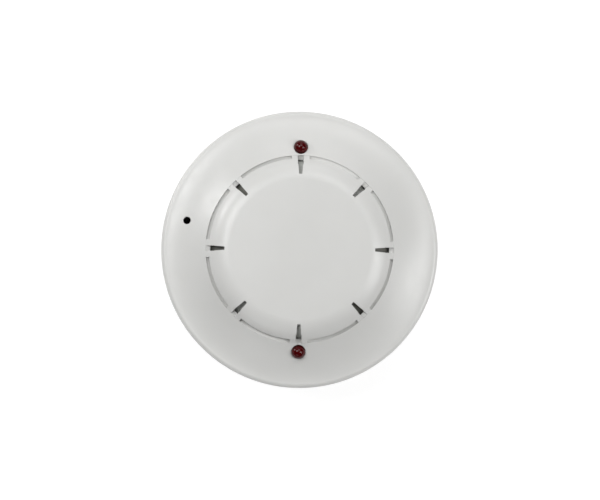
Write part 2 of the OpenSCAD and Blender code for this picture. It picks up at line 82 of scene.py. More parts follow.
# The face's profile, which follows the CAD's own rules

LIP_ROUND = 1.6
LIP_R = COVER_R - LIP_ROUND
LIP_Z = TOP_Z - 12
FLANGE_RISE = 6.4
FLANGE_POWER = 1.6
GROOVE_IN_R = 32.5
GROOVE_OUT_R = 33.75
GROOVE_DEPTH = 0.8
GROOVE_FLOOR_Z = LIP_Z + FLANGE_RISE - GROOVE_DEPTH
CROWN_R = 25.0
CROWN_H = 0.6
SHOULDER_ANGLE = math.radians(50)
SHELL_T = 2.2
CAP_T = 2.0
SEAM = 0.01
SLOT_COUNT = 8
SLOT_IN_R = 26.95
SLOT_END_R = GROOVE_IN_R - 0.4
SLOT_IN_W = 1.15
SLOT_OUT_W = 1.95
BRIDGE_HALF = 5.5
LAMP_R = 2.5
LAMP_FIT = 0.05
LAMP_COLLAR_R = LAMP_R + 0.4
LAMP_COLLAR_T = 1.0
RELEASE_R = 41.9
RELEASE_ANGLE = 166.2
RELEASE_HOLE_R = 1.35
LAMP_ANGLES = (90, 270)
SCREW_CIRCLE_R = RELEASE_R
SCREW_ANGLES = (20, 125, 245)

# The cover's and the cap's hidden sides

RIM_DRAFT = 0.7
SKIRT_T = 1.4
WALL_T = 2.2
COLLAR_T = 1.7
BRIM_T = 1.35
BRIM_GAP = 0.05
CAP_SKIRT_T = 1.35
CAP_FLOOR_T = 1.4
LIP_INSET = 1.2
SEAL_TOP_Z = 17.2
SHELF_TOP_Z = 16.0
BOSS_TOP_Z = 29.6
SCREW_BOSS_R = 3.0
SCREW_HOLE_R = 1.3
SCREW_HOLE_TOP_Z = 25.0
RELEASE_BOSS_R = 2.6
LAMP_NOTCH_R = 2.8

AROUND = 288  # segments of a full turn on the large round pieces


# Profiles


def flange_z(r):
    """Height of the flange's outer face at a radius."""
    return LIP_Z + FLANGE_RISE * (max(LIP_R - r, 0) / (LIP_R - GROOVE_OUT_R)) ** FLANGE_POWER


def flange_points(r0, r1, drop, steps=44):
    """The flange's section between two radii, lowered by drop."""
    radii = [r0 + (r1 - r0) * i / steps for i in range(steps + 1)]
    return [(r, flange_z(r) - drop) for r in radii]


CROWN_ARC_R = (CROWN_R**2 + CROWN_H**2) / (2 * CROWN_H)
CROWN_SLOPE = math.asin(CROWN_R / CROWN_ARC_R)
SHOULDER_ARC_R = (GROOVE_IN_R - CROWN_R) / (math.sin(SHOULDER_ANGLE) - math.sin(CROWN_SLOPE))
SHOULDER_CR = CROWN_R - SHOULDER_ARC_R * math.sin(CROWN_SLOPE)
SHOULDER_CZ = TOP_Z - CROWN_H - SHOULDER_ARC_R * math.cos(CROWN_SLOPE)


def dome_points(inset, crown_steps=12, shoulder_steps=20):
    """The dome's section from the middle outwards, moved in along its normal."""
    points = []
    for i in range(crown_steps):
        a = CROWN_SLOPE * i / crown_steps
        r = CROWN_ARC_R - inset
        points.append((r * math.sin(a), TOP_Z - CROWN_ARC_R + r * math.cos(a)))
    for i in range(shoulder_steps + 1):
        a = CROWN_SLOPE + (SHOULDER_ANGLE - CROWN_SLOPE) * i / shoulder_steps
        r = SHOULDER_ARC_R - inset
        points.append((SHOULDER_CR + r * math.sin(a), SHOULDER_CZ + r * math.cos(a)))
    return points


def dome_z(r):
    """Height of the dome's outer face at a radius."""
    if r <= CROWN_R:
        return TOP_Z - CROWN_ARC_R + math.sqrt(CROWN_ARC_R**2 - r**2)
    return SHOULDER_CZ + math.sqrt(SHOULDER_ARC_R**2 - (r - SHOULDER_CR) ** 2)


def fillet(before, corner, after, radius, steps=5):
    """The points of an arc that rounds one corner of a section."""
    a, b, c = Vector(before), Vector(corner), Vector(after)
    u, v = (a - b).normalized(), (c - b).normalized()
    half = u.angle(v) / 2
    reach = min(radius / math.tan(half), (a - b).length * 0.45, (c - b).length * 0.45)
    radius = reach * math.tan(half)
    centre = b + (u + v).normalized() * (radius / math.sin(half))
    start, end = b + u * reach - centre, b + v * reach - centre
    turn = start.angle_signed(end)
    points = []
    for i in range(steps + 1):
        p = centre + Matrix.Rotation(-turn * i / steps, 2) @ start
        points.append((p.x, p.y))
    return points


def rounded(section):
    """A closed section from (r, z) corners and (r, z, fillet radius) corners."""
    points = []
    for i, p in enumerate(section):
        if len(p) == 2 or p[2] == 0:
            points.append(p[:2])
        else:
            before, after = section[i - 1], section[(i + 1) % len(section)]
            points += fillet(before[:2], p[:2], after[:2], p[2])
    return points


# Mesh making


def new_object(name, bm):
    """An object from a bmesh drawn in millimetres."""
    bmesh.ops.recalc_face_normals(bm, faces=bm.faces)
    mesh = bpy.data.meshes.new(name)
    bm.to_mesh(mesh)
    bm.free()
    mesh.transform(Matrix.Scale(MM, 4))
    obj = bpy.data.objects.new(name, mesh)
    bpy.context.scene.collection.objects.link(obj)
    return obj


def lathe_into(bm, section, around=AROUND, start=0.0, turn=360.0):
    """Turns a closed (r, z) section about Z, all the way round or over part of a turn."""
    whole = turn >= 360
    count = around if whole else around + 1
    rings = []
    for r, z in section:
        if r < 1e-6:
            rings.append([bm.verts.new((0, 0, z))] * count)
            continue
        ring = []
        for i in range(count):
            a = math.radians(start + turn * i / around)
            ring.append(bm.verts.new((r * math.cos(a), r * math.sin(a), z)))
        rings.append(ring)
    for j, ring in enumerate(rings):
        other = rings[(j + 1) % len(rings)]
        for i in range(around):
            k = (i + 1) % count
            corners = []
            for v in (ring[i], ring[k], other[k], other[i]):
                if v not in corners:
                    corners.append(v)
            if len(corners) > 2:
                bm.faces.new(corners)
    if not whole:
        bm.faces.new([ring[0] for ring in rings])
        bm.faces.new([ring[-1] for ring in reversed(rings)])


def lathe_at(bm, section, matrix, around=32, start=0.0, turn=360.0):
    """A turned shape put in place by a matrix."""
    before = set(bm.verts)
    lathe_into(bm, section, around, start, turn)
    bmesh.ops.transform(bm, matrix=matrix, verts=[v for v in bm.verts if v not in before])


def lathe(name, section, around=AROUND):
    """An object turned all the way round from a section."""
    bm = bmesh.new()
    lathe_into(bm, section, around)
    return new_object(name, bm)


def loft_into(bm, rings):
    """Skins a stack of closed rings and caps both ends."""
    made = [[bm.verts.new(p) for p in ring] for ring in rings]
    for low, high in zip(made, made[1:]):
        for i in range(len(low)):
            k = (i + 1) % len(low)
            bm.faces.new((low[i], low[k], high[k], high[i]))
    bm.faces.new(list(reversed(made[0])))
    bm.faces.new(made[-1])


def place(r, angle, x, y):
    """A point given along and across a radius, as frame x and y."""
    a = math.radians(angle)
    return ((r + x) * math.cos(a) - y * math.sin(a), (r + x) * math.sin(a) + y * math.cos(a))


def rod_into(bm, r, angle, radius, z0, z1, sides=40):
    """An upright rod on a circle about the axis."""
    rings = []
    for z in (z0, z1):
        ring = []
        for i in range(sides):
            t = 2 * math.pi * i / sides
            ring.append((*place(r, angle, radius * math.cos(t), radius * math.sin(t)), z))
        rings.append(ring)
    loft_into(bm, rings)


def combine(obj, tool_bm, operation):
    """Adds or cuts the shape in a bmesh, exactly, and keeps the result as the object's mesh."""
    tool = new_object("tool", tool_bm)
    mod = obj.modifiers.new("cut", "BOOLEAN")
    mod.operation = operation
    mod.solver = "EXACT"
    mod.object = tool
    apply_modifiers(obj)
    bpy.data.objects.remove(tool)


def apply_modifiers(obj):
    """Bakes an object's modifiers into its mesh."""
    bpy.context.view_layer.update()
    evaluated = obj.evaluated_get(bpy.context.evaluated_depsgraph_get())
    mesh = bpy.data.meshes.new_from_object(evaluated)
    old = obj.data
    obj.modifiers.clear()
    obj.data = mesh
    bpy.data.meshes.remove(old)


def smooth(obj, angle=32):
    """Smooth shading with edges kept crisp above an angle."""
    mesh = obj.data
    mesh.polygons.foreach_set("use_smooth", [True] * len(mesh.polygons))
    mesh.set_sharp_from_angle(angle=math.radians(angle))
    weighted = obj.modifiers.new("weighted", "WEIGHTED_NORMAL")
    weighted.keep_sharp = True


# Materials


class Nodes:
    """A short way to write a material's node tree."""

    def __init__(self, name):
        self.material = bpy.data.materials.new(name)
        self.material.use_nodes = True
        self.tree = self.material.node_tree
        self.shader = self.tree.nodes["Principled BSDF"]
        self.place = self.tree.nodes.new("ShaderNodeTexCoord").outputs["Object"]

    def link(self, source, target):
        self.tree.links.new(source, target)

    def noise(self, scale, detail=2.0, rough=0.5, stretch=None):
        node = self.tree.nodes.new("ShaderNodeTexNoise")
        node.inputs["Scale"].default_value = scale
        node.inputs["Detail"].default_value = detail
        node.inputs["Roughness"].default_value = rough
        source = self.place
        if stretch:
            mapping = self.tree.nodes.new("ShaderNodeMapping")
            mapping.inputs["Scale"].default_value = stretch
            self.link(source, mapping.inputs["Vector"])
            source = mapping.outputs["Vector"]
        self.link(source, node.inputs["Vector"])
        return node.outputs["Fac"]

    def ramp(self, source, low, high):
        """Spreads the middle of a noise over a range of values."""
        node = self.tree.nodes.new("ShaderNodeMapRange")
        node.inputs["From Min"].default_value = 0.35
        node.inputs["From Max"].default_value = 0.65
        node.inputs["To Min"].default_value = low
        node.inputs["To Max"].default_value = high
        self.link(source, node.inputs["Value"])
        return node.outputs["Result"]

    def tint(self, source, dark, light):
        """Spreads the middle of a noise over a range of colours."""
        node = self.tree.nodes.new("ShaderNodeValToRGB")
        node.color_ramp.elements[0].position = 0.3
        node.color_ramp.elements[0].color = (*dark, 1)
        node.color_ramp.elements[1].position = 0.7
        node.color_ramp.elements[1].color = (*light, 1)
        self.link(source, node.inputs["Fac"])
        return node.outputs["Color"]

    def bump(self, source, depth, strength, under=None):
        node = self.tree.nodes.new("ShaderNodeBump")
        node.inputs["Strength"].default_value = strength
        node.inputs["Distance"].default_value = depth
        self.link(source, node.inputs["Height"])
        if under is not None:
            self.link(under, node.inputs["Normal"])
        return node.outputs["Normal"]

    def set(self, **values):
        for key, value in values.items():
            self.shader.inputs[key.replace("_", " ")].default_value = value


def moulded(name, dark, light, rough=(0.29, 0.38), grain=3200, soft=0.0):
    """A moulded plastic: faint colour drift, uneven sheen and a fine spark texture."""
    m = Nodes(name)
    m.link(m.tint(m.noise(38, 3), dark, light), m.shader.inputs["Base Color"])
    m.link(m.ramp(m.noise(260, 4, 0.6), *rough), m.shader.inputs["Roughness"])
    texture = m.bump(m.noise(grain, 2, 0.6), 0.00002, 0.5)
    waves = m.bump(m.noise(55, 1), 0.00006, 0.25, under=texture)
    m.link(waves, m.shader.inputs["Normal"])
    m.set(IOR=1.5)
    if soft:
        m.set(Subsurface_Weight=soft, Subsurface_Scale=0.001)
        m.shader.inputs["Subsurface Radius"].default_value = (1.0, 0.9, 0.8)
    return m.material


def metal(name, dark, light, stretch=(1, 1, 8)):
    """A plated metal with fine drawn marks and light tarnish."""
    m = Nodes(name)
    m.link(m.tint(m.noise(420, 4, 0.6), dark, light), m.shader.inputs["Base Color"])
    marks = m.noise(900, 3, 0.6, stretch)
    m.link(m.ramp(marks, 0.22, 0.4), m.shader.inputs["Roughness"])
    m.link(m.bump(marks, 0.00001, 0.35), m.shader.inputs["Normal"])
    m.set(Metallic=1.0)
    return m.material


def ruby(name):
    """Clear red epoxy, as on a lamp's lens."""
    m = Nodes(name)
    m.set(Base_Color=(0.08, 0.0015, 0.002, 1), Transmission_Weight=0.35, IOR=1.33)
    m.link(m.ramp(m.noise(500, 3), 0.09, 0.15), m.shader.inputs["Roughness"])
    m.link(m.bump(m.noise(700, 2), 0.00001, 0.15), m.shader.inputs["Normal"])
    return m.material


def solder_mask(name, dark, light):
    """Glossy lacquer over glass cloth, whose weave shows faintly."""
    m = Nodes(name)
    m.link(m.tint(m.noise(120, 3), dark, light), m.shader.inputs["Base Color"])
    m.link(m.ramp(m.noise(600, 3), 0.2, 0.32), m.shader.inputs["Roughness"])
    across = m.bump(m.noise(1500, 2, 0.5, (1, 0.3, 1)), 0.00001, 0.3)
    weave = m.bump(m.noise(1500, 2, 0.5, (0.3, 1, 1)), 0.00001, 0.3, under=across)
    m.link(weave, m.shader.inputs["Normal"])
    return m.material


MATERIALS = {
    "white_cover": moulded("white_cover", (0.60, 0.60, 0.585), (0.625, 0.625, 0.61), soft=0.06),
    "white_base": moulded("white_base", (0.59, 0.59, 0.57), (0.62, 0.62, 0.60), rough=(0.4, 0.52)),
    "natural_nylon": moulded("natural_nylon", (0.58, 0.56, 0.49), (0.66, 0.64, 0.57), soft=0.2),
    "steel": metal("steel", (0.50, 0.50, 0.51), (0.64, 0.64, 0.64)),
    "spring_steel": metal("spring_steel", (0.36, 0.36, 0.38), (0.5, 0.5, 0.52)),
    "nickel_brass": metal("nickel_brass", (0.66, 0.61, 0.47), (0.72, 0.68, 0.55), stretch=(8, 1, 1)),
    "board_green": solder_mask("board_green", (0.010, 0.085, 0.036), (0.013, 0.105, 0.045)),
    "board_track": solder_mask("board_track", (0.022, 0.155, 0.065), (0.028, 0.18, 0.075)),
    "black_package": moulded(
        "black_package", (0.016, 0.016, 0.017), (0.03, 0.03, 0.032), rough=(0.45, 0.6)
    ),
    "capacitor_sleeve": moulded(
        "capacitor_sleeve", (0.012, 0.014, 0.03), (0.02, 0.025, 0.05), rough=(0.2, 0.3)
    ),
    "ceramic_tan": moulded("ceramic_tan", (0.30, 0.20, 0.12), (0.42, 0.30, 0.19), rough=(0.3, 0.45)),
    "resistor_black": moulded(
        "resistor_black", (0.012, 0.012, 0.014), (0.03, 0.03, 0.034), rough=(0.2, 0.35)
    ),
    "ruby_lens": ruby("ruby_lens"),
    "tinned_wire": metal("tinned_wire", (0.55, 0.55, 0.54), (0.7, 0.7, 0.69)),
    "grey_shield": moulded("grey_shield", (0.43, 0.44, 0.42), (0.49, 0.50, 0.48), rough=(0.45, 0.6)),
    "dark_moulding": moulded(
        "dark_moulding", (0.136, 0.135, 0.12), (0.172, 0.171, 0.153), rough=(0.5, 0.65)
    ),
    "black_bead": moulded(
        "black_bead", (0.012, 0.012, 0.013), (0.025, 0.025, 0.027), rough=(0.12, 0.25)
    ),
    "black_moulding": moulded(
        "black_moulding", (0.010, 0.010, 0.011), (0.018, 0.018, 0.019), rough=(0.5, 0.65)
    ),
    "seal_rubber": moulded(
        "seal_rubber", (0.014, 0.014, 0.014), (0.03, 0.03, 0.03), rough=(0.7, 0.85), grain=1600
    ),
    "label_foil": moulded("label_foil", (0.56, 0.56, 0.55), (0.62, 0.62, 0.61), rough=(0.28, 0.4)),
}


def dress(obj, slot, look=None):
    """Gives a piece the finish of a material slot, or a look of its own in place of that finish."""
    obj.data.materials.clear()
    obj.data.materials.append(MATERIALS[look or slot])


def fit(obj, node, angle=32):
    """Shades a piece and lets it stand for a CAD node, with that node's material and body."""
    smooth(obj, angle)
    dress(obj, SLOT_OF[node])
    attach(obj, BODY_OF[node])
    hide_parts(node)


# Cutters that follow the face


def mouth_into(bm, r, angle, radius, surface, edge, bottom, sides=72, steps=6):
    """A hole's cutter on a sloping face. Its mouth flares by edge, a rounding, all the way round."""

    def ring(radial, lift):
        points = []
        for i in range(sides):
            t = 2 * math.pi * i / sides
            x, y = place(r, angle, radial * math.cos(t), radial * math.sin(t))
            points.append((x, y, surface(math.hypot(x, y)) + lift))
        return points

    flat = [(x, y, bottom) for x, y, z in ring(radius, 0)]
    rings = [flat, ring(radius, -edge)]
    for i in range(1, steps + 1):
        t = math.radians(84) * i / steps
        rings.append(ring(radius + edge * (1 - math.cos(t)), -edge * (1 - math.sin(t))))
    rings.append(ring(radius + edge * 1.6, 2.0))
    loft_into(bm, rings)


def wedge_rings(r0, w0, r1, w1, angle, z0, z1):
    """The two rings of an upright wedge along a radius, from r0 to r1."""
    corners = ((r0, -w0 / 2), (r1, -w1 / 2), (r1, w1 / 2), (r0, w0 / 2))
    return [[(*place(0, angle, x, y), z) for x, y in corners] for z in (z0, z1)]


# Outer cover


def make_outer_cover():
    """The rim, its lip and the flange, with the bosses behind and the holes for lamps and tool."""
    collar_r = GROOVE_OUT_R + COLLAR_T
    collar_z = BRIM_Z + BRIM_T + BRIM_GAP
    inner_r = COVER_R - WALL_T
    skirt_r = COVER_R - SKIRT_T
    lip = []
    for degrees in range(0, 90, 4):
        a = math.radians(degrees)
        lip.append((LIP_R + LIP_ROUND * math.cos(a), LIP_Z - LIP_ROUND + LIP_ROUND * math.sin(a)))
    section = [(COVER_R - RIM_DRAFT, RIM_Z, 0.35)] + lip + flange_points(LIP_R, GROOVE_OUT_R + 0.2, 0)
    section += [(GROOVE_OUT_R, flange_z(GROOVE_OUT_R), 0.05), (GROOVE_OUT_R, collar_z, 0.2)]
    section += [(collar_r, collar_z, 0.2)] + flange_points(collar_r, LIP_R - LIP_INSET, SHELL_T, 20)
    section += [(inner_r, LIP_Z - LIP_ROUND - LIP_INSET), (inner_r, SEAL_TOP_Z)]
    section += [(skirt_r, SEAL_TOP_Z), (skirt_r, RIM_Z, 0.25)]
    cover = lathe("cover_shell", rounded(section))
    bosses = bmesh.new()
    for a in SCREW_ANGLES:
        rod_into(bosses, SCREW_CIRCLE_R, a, SCREW_BOSS_R, SHELF_TOP_Z, BOSS_TOP_Z)
    rod_into(bosses, RELEASE_R, RELEASE_ANGLE, RELEASE_BOSS_R, SHELF_TOP_Z, BOSS_TOP_Z)
    combine(cover, bosses, "UNION")
    holes = bmesh.new()
    for a in LAMP_ANGLES:
        mouth_into(holes, LAMP_CIRCLE_R, a, LAMP_R + LAMP_FIT, flange_z, 0.14, BRIM_Z)
    mouth_into(holes, RELEASE_R, RELEASE_ANGLE, RELEASE_HOLE_R, flange_z, 0.2, SHELF_TOP_Z - 1)
    for a in SCREW_ANGLES:
        rod_into(holes, SCREW_CIRCLE_R, a, SCREW_HOLE_R, SHELF_TOP_Z - 1, SCREW_HOLE_TOP_Z)
    combine(cover, holes, "DIFFERENCE")
    fit(cover, "outer_cover")


# Centre cap


def make_centre_cap():
    """The dome with its ring groove, the bridges over the groove, and the air slots."""
    cap_r = GROOVE_OUT_R - SEAM
    skirt_in_r = cap_r - CAP_SKIRT_T
    brim_top = BRIM_Z + BRIM_T
    slot_angles = [i * 360 / SLOT_COUNT for i in range(SLOT_COUNT)]
    outer = dome_points(0)
    edge_r, edge_z = outer[-1]
    section = outer[:-1] + [(edge_r, edge_z, 0.3), (GROOVE_IN_R, GROOVE_FLOOR_Z, 0.35)]
    section += [(cap_r, GROOVE_FLOOR_Z), (cap_r, brim_top), (BRIM_R, brim_top, 0.2)]
    section += [(BRIM_R, BRIM_Z, 0.2), (skirt_in_r, BRIM_Z, 0.2)]
    section += [(skirt_in_r, GROOVE_FLOOR_Z - CAP_FLOOR_T)]
    section += list(reversed(dome_points(CAP_T)))
    cap = lathe("dome_cap", rounded(section))
    bridges = bmesh.new()
    root_r, root_z, sunk = GROOVE_IN_R - 0.35, GROOVE_FLOOR_Z - 0.3, 0.02
    shape = [(root_r, root_z), (root_r, dome_z(root_r) - sunk), (edge_r, edge_z - sunk)]
    shape += [(cap_r, flange_z(cap_r) - sunk), (cap_r, root_z)]
    for a in slot_angles:
        lathe_into(bridges, shape, 12, a - BRIDGE_HALF, 2 * BRIDGE_HALF)
    combine(cap, bridges, "UNION")
    slots = bmesh.new()
    above = TOP_Z + 1
    for a in slot_angles:
        wedge = wedge_rings(SLOT_IN_R, SLOT_IN_W, SLOT_END_R, SLOT_OUT_W, a, brim_top + 0.5, above)
        loft_into(slots, wedge)
    combine(cap, slots, "DIFFERENCE")
    channels = bmesh.new()
    for a in slot_angles:
        lamp = a in LAMP_ANGLES
        floor = (GROOVE_FLOOR_Z if lamp else flange_z(cap_r)) - 0.35
        wide = SLOT_OUT_W + (0.25 if lamp else 0.05)
        wedge = wedge_rings(SLOT_END_R - 1.5, wide - 0.1, cap_r + 1, wide, a, floor, above)
        loft_into(channels, wedge)
    combine(cap, channels, "DIFFERENCE")
    notches = bmesh.new()
    for a in LAMP_ANGLES:
        rod_into(notches, LAMP_CIRCLE_R, a, LAMP_NOTCH_R, BRIM_Z - 1, brim_top + 1)
    combine(cap, notches, "DIFFERENCE")
    fit(cap, "centre_cap")


# Lamps


def make_lamp(node, angle):
    """The lens and, inside it, the two posts of the leadframe: the reflector cup and the plain one."""
    collar_z = LAMP_SEAT_Z + LAMP_COLLAR_T
    shoulder = LAMP_TOP_Z - LAMP_R
    section = [(0, LAMP_TOP_Z)]
    for degrees in range(6, 91, 6):
        a = math.radians(degrees)
        section.append((LAMP_R * math.sin(a), shoulder + LAMP_R * math.cos(a)))
    section += [(LAMP_R, collar_z), (LAMP_COLLAR_R, collar_z, 0.1)]
    section += [(LAMP_COLLAR_R, LAMP_SEAT_Z, 0.1), (0, LAMP_SEAT_Z)]
    x, y = place(LAMP_CIRCLE_R, angle, 0, 0)
    lens = lathe(node + "_lens", rounded(section), 64)
    lens.data.transform(Matrix.Translation((x * MM, y * MM, 0)))
    fit(lens, node, 40)
    frame_metal = bmesh.new()
    foot = LAMP_SEAT_Z + 0.3
    cup = [(0, 31.9), (0.35, 31.9), (0.75, 32.5), (0.95, 32.5), (0.95, 31.2), (0.3, 30.4)]
    cup += [(0.3, foot), (0, foot)]
    lathe_at(frame_metal, cup, Matrix.Translation((-0.35, 0, 0)))
    post = [(0, 32.3), (0.32, 32.3), (0.32, foot), (0, foot)]
    lathe_at(frame_metal, post, Matrix.Translation((1.1, 0, 0)), 16)
    inside = new_object(node + "_leadframe", frame_metal)
    turn = Matrix.Rotation(math.radians(angle + 90), 4, "Z")
    inside.data.transform(Matrix.Translation((x * MM, y * MM, 0)) @ turn)
    smooth(inside)
    dress(inside, "tinned_wire")
    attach(inside, "head")


# The lock's return spring


def coil_into(bm, x, y, coil_r, wire_r, z0, z1, turns, closed=0.8, around=40, sides=12):
    """A compression spring with part of a turn, closed, lying flat at each end."""
    steps = int(turns * around)
    flat_pitch = wire_r * 2.1
    climb = z1 - z0 - flat_pitch * 2 * closed
    rings = []
    for i in range(steps + 1):
        turn = turns * i / steps
        rise = min(max((turn - closed) / (turns - 2 * closed), 0), 1)
        z = z0 + climb * rise + flat_pitch * (min(turn, closed) + max(turn - turns + closed, 0))
        a = 2 * math.pi * turn
        ring = []
        for k in range(sides):
            t = 2 * math.pi * k / sides
            r = coil_r + wire_r * math.cos(t)
            ring.append((x + r * math.cos(a), y + r * math.sin(a), z + wire_r * math.sin(t)))
        rings.append(ring)
    loft_into(bm, rings)


def make_lock_spring():
    """The spring that returns the lock lever."""
    low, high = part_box("lock_spring")
    centre = (low + high) / 2
    wire_r = 0.18
    coil_r = (high.x - low.x) / 2 / MM - wire_r
    z0, z1 = low.z / MM + wire_r, high.z / MM - wire_r
    bm = bmesh.new()
    coil_into(bm, centre.x / MM, centre.y / MM, coil_r, wire_r, z0, z1, 5)
    spring = new_object("lock_spring_coil", bm)
    fit(spring, "lock_spring", 60)
    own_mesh(spring)


# Board: tracks, pads and print, laid out from where the parts stand


BOARD_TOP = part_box("circuit_board")[1].z / MM
TRACK_W = 0.32
TRACK_T = 0.035
TRACK_GAP = 0.5
PAD_GAP = 0.6
TRACK_REACH = 24
VIA_REACHES = (2.2, 3.4)
VIA_LIMIT_R = 33
PAD_T = 0.06
PAD_HALF = 0.45
PAD_MARGIN = 0.1
DIODE_PAD = (0.8, 0.7)
LEG_PAD = (0.5, 0.28)
PRINT_W = 0.18
PRINT_T = 0.05
PRINT_MARGIN = 0.9
MARK_PROUD = 0.012

# The legs along each side of a chip, and their pitch

CHIP_LEGS = {"microcontroller": (8, 1.0), "amplifier_chip": (4, 1.27), "regulator": (4, 1.27)}


def islands(node):
    """The low and high corners, in millimetres, of each separate solid in a node."""
    bm = bmesh.new()
    bm.from_mesh(frame["nodes"][node].data)
    bmesh.ops.remove_doubles(bm, verts=bm.verts, dist=1e-7)
    left = set(bm.verts)
    found = []
    for seed in bm.verts:
        if seed not in left:
            continue
        left.remove(seed)
        group, front = [seed], [seed]
        while front:
            for edge in front.pop().link_edges:
                for v in edge.verts:
                    if v in left:
                        left.remove(v)
                        group.append(v)
                        front.append(v)
        low = Vector([min(v.co[i] for v in group) / MM for i in range(3)])
        high = Vector([max(v.co[i] for v in group) / MM for i in range(3)])
        found.append((low, high))
    bm.free()
    return found


def block_into(bm, low, high):
    """An upright box between two corners."""
    (x0, y0, z0), (x1, y1, z1) = low, high
    loft_into(bm, [[(x0, y0, z), (x1, y0, z), (x1, y1, z), (x0, y1, z)] for z in (z0, z1)])


def ribbon_into(bm, points, width, z0, z1):
    """A flat strip along a line of points, with mitred bends."""
    rings = []
    line = [Vector(p) for p in points]
    for i, p in enumerate(line):
        before = (p - line[i - 1]).normalized() if i else None
        after = (line[i + 1] - p).normalized() if i + 1 < len(line) else before
        before = before or after
        across = Vector((-before.y - after.y, before.x + after.x)).normalized()
        reach = across * (width / 2 / max(across.dot(Vector((-before.y, before.x))), 0.5))
        a, b = p + reach, p - reach
        rings.append([(a.x, a.y, z0), (b.x, b.y, z0), (b.x, b.y, z1), (a.x, a.y, z1)])
    loft_into(bm, rings)


def pad_places():
    """Each part's pads, as a list of (x, y, half length, half width) for each part."""
    parts = []
    for node in ("resistors", "ceramic_capacitors"):
        for low, high in islands(node):
            mid, half = (low + high) / 2, (high - low) / 2
            if half.x > half.y:
                size = (PAD_HALF, half.y + PAD_MARGIN)
                parts.append([(mid.x + side * half.x, mid.y, *size) for side in (-1, 1)])
            else:
                size = (half.x + PAD_MARGIN, PAD_HALF)
                parts.append([(mid.x, mid.y + side * half.y, *size) for side in (-1, 1)])
    for low, high in islands("diodes"):
        mid = (low + high) / 2
        parts.append([(mid.x, y, *DIODE_PAD) for y in (low.y, high.y)])
    for node, (pins, pitch) in CHIP_LEGS.items():
        low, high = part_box(node)
        mid = (low + high) / 2 / MM
        wide = (high.x - low.x) / 2 / MM
        tall = (high.y - low.y) / 2 / MM
        steps = [(i - (pins - 1) / 2) * pitch for i in range(pins)]
        legs = list(itertools.product((-1, 1), steps))
        if node == "microcontroller" or wide > tall:
            parts.append([(mid.x + side * wide, mid.y + step, *LEG_PAD) for side, step in legs])
        else:
            parts.append([(mid.x + step, mid.y + side * tall, *LEG_PAD[::-1]) for side, step in legs])
    return parts


def route(p, q):
    """A track's points between two pads: a diagonal, then a straight run."""
    dx, dy = q[0] - p[0], q[1] - p[1]
    slant = min(abs(dx), abs(dy))
    knee = (p[0] + math.copysign(slant, dx), p[1] + math.copysign(slant, dy))
    points = [p]
    for point in (knee, q):
        if math.dist(points[-1], point) > 0.05:
            points.append(point)
    return points


def gap(point, a, b):
    """How far a point is from a straight run."""
    a, run, point = Vector(a), Vector(b) - Vector(a), Vector(point)
    along = min(max((point - a).dot(run) / run.length_squared, 0), 1)
    return (a + run * along - point).length


def clear(path, routes, places):
    """Whether a path keeps off every track and every pad but its own two."""
    for a, b in zip(path, path[1:]):
        if any(gap(spot, a, b) < PAD_GAP for spot in places if spot not in (path[0], path[-1])):
            return False
        for other in routes:
            if any(intersect_line_line_2d(a, b, c, d) for c, d in zip(other, other[1:])):
                return False
            if any(gap(point, a, b) < TRACK_GAP for point in other):
                return False
            if any(gap(a, c, d) < TRACK_GAP for c, d in zip(other, other[1:])):
                return False
    return True


def track_routes(parts, holes):
    """Tracks between the nearest free pads, and short ones from the other pads to vias."""
    owners = [(i, (x, y)) for i, part in enumerate(parts) for x, y, _, _ in part]
    owners += [(-1 - i, hole) for i, hole in enumerate(holes)]
    places = [spot for _, spot in owners]
    pairs = sorted((math.dist(a, b), a, b) for i, a in owners for j, b in owners if i < j)
    routes, vias, used = [], [], set()
    for length, a, b in pairs:
        path = route(a, b)
        if length < TRACK_REACH and a not in used and b not in used and clear(path, routes, places):
            routes.append(path)
            used.update((a, b))
    for a in places:
        for turn, reach in itertools.product(range(0, 360, 45), VIA_REACHES):
            x, y = place(0, turn, reach, 0)
            end = (a[0] + x, a[1] + y)
            if a in used or math.hypot(*end) >= VIA_LIMIT_R:
                continue
            if clear([a, end], routes, places + vias):
                routes.append([a, end])
                vias.append(end)
                used.add(a)
    return routes, vias


def washer_into(bm, x, y, r0, r1, thick, around):
    """A flat ring on the board."""
    section = [(r0, 0), (r1, 0), (r1, thick), (r0, thick)]
    lathe_at(bm, section, Matrix.Translation((x, y, BOARD_TOP)), around)


